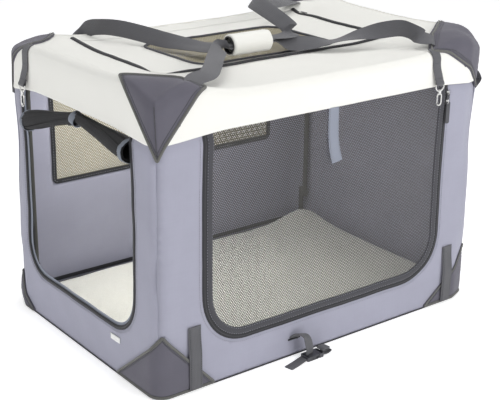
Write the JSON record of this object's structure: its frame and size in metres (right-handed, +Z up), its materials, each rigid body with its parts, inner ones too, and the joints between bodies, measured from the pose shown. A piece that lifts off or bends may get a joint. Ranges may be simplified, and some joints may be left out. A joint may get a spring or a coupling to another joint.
{
  "type": "pet carrier",
  "caption": "Folding soft-sided dog crate: tube frame with folding hoops, fabric cover, mesh side, top and end doors, carry handle.",
  "frame": {"origin": "on the floor, at the middle of the crate's base", "axes": "+X along the crate from the open end door to the plain end, +Y to the side with the window, +Z up; the mesh side door faces -Y"},
  "size_m": [0.9522, 0.6678, 0.7024],
  "materials": {
    "grey_cloth": "woven polyester, lavender grey",
    "cream_cloth": "woven polyester, cream",
    "patch_cloth": "woven polyester, charcoal",
    "webbing": "flat nylon webbing, dark grey",
    "dark_mesh": "knitted mesh, charcoal",
    "pale_mesh": "knitted mesh, beige",
    "binding": "folded bias binding, black",
    "zip_tape": "coil zip and its pulls, black",
    "tube_paint": "steel tube, dark powder coat",
    "clip_plastic": "moulded, black",
    "buckle_plastic": "moulded, black",
    "bright_metal": "plated zinc and steel",
    "fleece": "short fleece, ivory",
    "label_cloth": "plain woven tag, white"
  },
  "bodies": {
    "base": {"bottom_frame": "tube_paint", "floor_panel": "grey_cloth", "front_wall": "grey_cloth", "left_wall": "grey_cloth", "back_wall": "grey_cloth", "right_wall": "grey_cloth", "back_window_mesh": "pale_mesh", "back_window_binding": "binding", "front_door_zip": "zip_tape", "left_door_zip": "zip_tape", "pad_foot_front_left": "patch_cloth", "pad_foot_front_right": "patch_cloth", "pad_foot_back_left": "patch_cloth", "pad_foot_back_right": "patch_cloth", "bare_label": "label_cloth", "front_tab_left": "webbing", "front_tab_right": "webbing", "pack_strap": "webbing", "buckle_socket": "buckle_plastic"},
    "top": {"top_frame": "tube_paint", "left_bar_clip": "clip_plastic", "right_bar_clip": "clip_plastic", "top_cover": "cream_cloth", "valance": "cream_cloth", "pad_top_front_left": "patch_cloth", "pad_top_front_right": "patch_cloth", "pad_top_back_left": "patch_cloth", "pad_top_back_right": "patch_cloth", "top_door_zip": "zip_tape", "front_handle_web": "webbing", "back_handle_web": "webbing", "front_lock_web": "webbing", "side_lock_web": "webbing", "end_loop_web": "webbing", "door_roll_back": "dark_mesh", "door_roll_front": "dark_mesh", "door_roll_tie": "webbing", "upper_slider": "bright_metal"},
    "left_hoop": {"left_hoop": "tube_paint"},
    "right_hoop": {"right_hoop": "tube_paint"},
    "front_door": {"front_door_mesh": "dark_mesh", "front_door_binding": "binding"},
    "top_door": {"top_door_panel": "cream_cloth", "top_door_binding": "binding", "top_door_mesh": "pale_mesh"},
    "handle": {"handle_grip": "cream_cloth"},
    "fleece_mat": {"fleece_mat": "fleece"},
    "hold_strip": {"hold_strip": "grey_cloth"},
    "front_lock_eye": {"front_lock_eye": "bright_metal"},
    "front_lock_hook": {"front_lock_hook": "bright_metal"},
    "front_lock_gate": {"front_lock_gate": "bright_metal"},
    "side_lock_eye": {"side_lock_eye": "bright_metal"},
    "side_lock_hook": {"side_lock_hook": "bright_metal"},
    "side_lock_gate": {"side_lock_gate": "bright_metal"},
    "upper_pull": {"upper_pull": "zip_tape"},
    "lower_slider": {"lower_slider": "bright_metal"},
    "lower_pull": {"lower_pull": "zip_tape"},
    "top_slider": {"top_slider": "bright_metal"},
    "top_pull": {"top_pull": "zip_tape"},
    "buckle_plug": {"buckle_prongs": "buckle_plastic"}
  },
  "joints": [
    {"name": "fold", "type": "slide", "parent": "base", "child": "top", "axis": [0, 0, -1], "range_m": [0, 0.345], "deforming": ["front_wall", "left_wall", "back_wall", "right_wall", "back_window_mesh", "back_window_binding", "front_door_zip", "left_door_zip", "front_door_mesh", "front_door_binding", "pad_foot_front_left", "pad_foot_front_right", "pad_foot_back_left", "pad_foot_back_right"]},
    {"name": "left_hoop_fold", "type": "hinge", "parent": "base", "child": "left_hoop", "pos_m": [-0.42, 0, 0.097], "axis": [0, 1, 0], "range_deg": [0, 95.01]},
    {"name": "right_hoop_fold", "type": "hinge", "parent": "base", "child": "right_hoop", "pos_m": [0.42, 0, 0.097], "axis": [0, -1, 0], "range_deg": [0, 90.01]},
    {"name": "front_door_open", "type": "hinge", "parent": "base", "child": "front_door", "pos_m": [0, -0.31, 0.5357], "axis": [1, 0, 0], "range_deg": [-100, 0]},
    {"name": "top_door_open", "type": "hinge", "parent": "top", "child": "top_door", "pos_m": [0, 0.2394, 0.62], "axis": [1, 0, 0], "range_deg": [-110, 0], "deforming": ["top_door_panel", "top_door_binding", "top_door_mesh"]},
    {"name": "handle_lift", "type": "slide", "parent": "top", "child": "handle", "axis": [0, 0, -1], "range_m": [-0.06, 0], "deforming": ["front_handle_web", "back_handle_web"]},
    {"name": "mat_lift", "type": "slide", "parent": "base", "child": "fleece_mat", "axis": [0, 0, -1], "range_m": [-0.03, 0]},
    {"name": "hold_strip_swing", "type": "hinge", "parent": "top", "child": "hold_strip", "pos_m": [-0.014, -0.3118, 0.536], "axis": [1, 0, 0], "range_deg": [-120, 0]},
    {"name": "front_eye_swing", "type": "hinge", "parent": "top", "child": "front_lock_eye", "pos_m": [0.291, -0.3202, 0.552], "axis": [1, 0, 0], "range_deg": [-100, 0]},
    {"name": "front_hook_swivel", "type": "hinge", "parent": "front_lock_eye", "child": "front_lock_hook", "pos_m": [0.291, -0.3202, 0.5325], "axis": [0, 0, 1], "continuous": true},
    {"name": "front_gate_open", "type": "hinge", "parent": "front_lock_hook", "child": "front_lock_gate", "pos_m": [0.2845, -0.3202, 0.5227], "axis": [0, 1, 0], "range_deg": [-25, 0], "stiffness_Nm_per_rad": 0.02},
    {"name": "side_eye_swing", "type": "hinge", "parent": "top", "child": "side_lock_eye", "pos_m": [-0.4652, 0.196, 0.552], "axis": [0, -1, 0], "range_deg": [-100, 0]},
    {"name": "side_hook_swivel", "type": "hinge", "parent": "side_lock_eye", "child": "side_lock_hook", "pos_m": [-0.4652, 0.196, 0.5325], "axis": [0, 0, 1], "continuous": true},
    {"name": "side_gate_open", "type": "hinge", "parent": "side_lock_hook", "child": "side_lock_gate", "pos_m": [-0.4652, 0.1895, 0.5227], "axis": [-1, 0, 0], "range_deg": [-25, 0], "stiffness_Nm_per_rad": 0.02},
    {"name": "upper_pull_lift", "type": "hinge", "parent": "top", "child": "upper_pull", "pos_m": [0.32625, -0.3148, 0.5255], "axis": [1, 0, 0], "range_deg": [-90, 0]},
    {"name": "lower_slider_run", "type": "slide", "parent": "top", "child": "lower_slider", "axis": [0, 0, 1], "range_m": [-0.28, 0]},
    {"name": "lower_pull_lift", "type": "hinge", "parent": "lower_slider", "child": "lower_pull", "pos_m": [0.32625, -0.3148, 0.505], "axis": [1, 0, 0], "range_deg": [-90, 0]},
    {"name": "top_slider_run", "type": "slide", "parent": "top", "child": "top_slider", "axis": [0, 1, 0], "range_m": [-0.27, 0]},
    {"name": "top_pull_lift", "type": "hinge", "parent": "top_slider", "child": "top_pull", "pos_m": [0.32825, 0.205, 0.6248], "axis": [1, 0, 0], "range_deg": [-90, 0]},
    {"name": "buckle_release", "type": "slide", "parent": "base", "child": "buckle_plug", "axis": [-1, 0, 0], "range_m": [-0.03, 0]}
  ],
  "couplings": [
    {"joint": "left_hoop_fold", "follows": "fold", "rad_per_m": 4.806},
    {"joint": "right_hoop_fold", "follows": "fold", "rad_per_m": 4.553}
  ]
}
